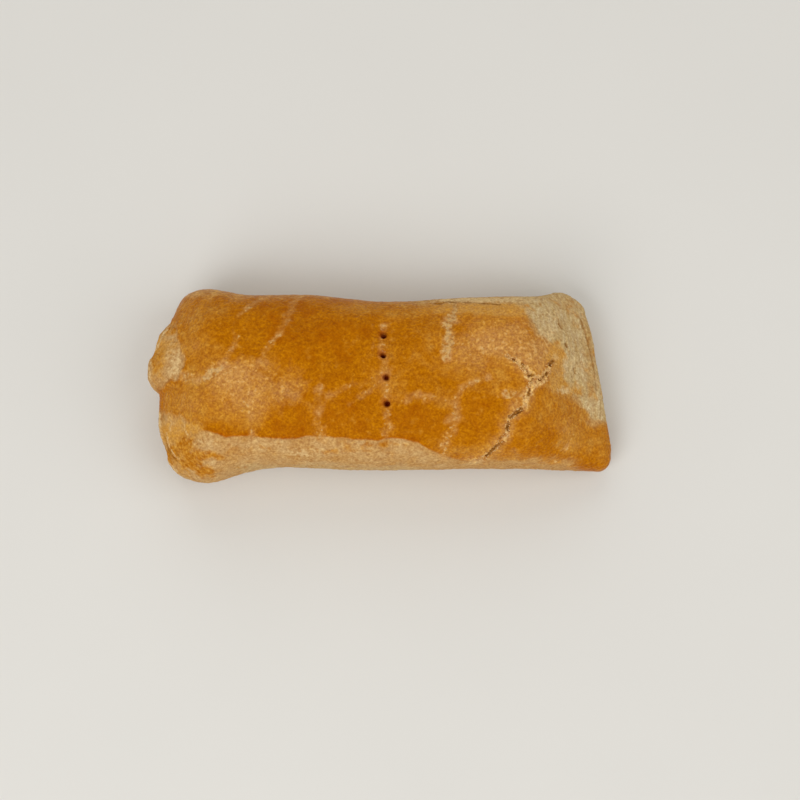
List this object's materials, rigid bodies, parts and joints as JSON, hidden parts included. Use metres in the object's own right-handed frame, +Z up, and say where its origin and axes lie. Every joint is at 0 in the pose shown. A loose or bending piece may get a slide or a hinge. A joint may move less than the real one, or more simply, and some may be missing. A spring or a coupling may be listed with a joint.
{
  "type": "fish roll",
  "caption": "Baked savoury roll of glazed shortcrust pastry, a flat-based bolster with a pinched end, fork vents and a cracked crust, to be eaten by hand.",
  "frame": {"origin": "middle of the bounding box in plan, on the flat base", "axes": "+X along the roll towards its pinched end, +Y to the back of the picture, +Z up"},
  "size_m": [0.1344, 0.0568, 0.0335],
  "materials": {
    "crust": "egg-washed golden crust with bare pale edges"
  },
  "bodies": {
    "root": {"fish_roll": "crust"}
  },
  "joints": []
}
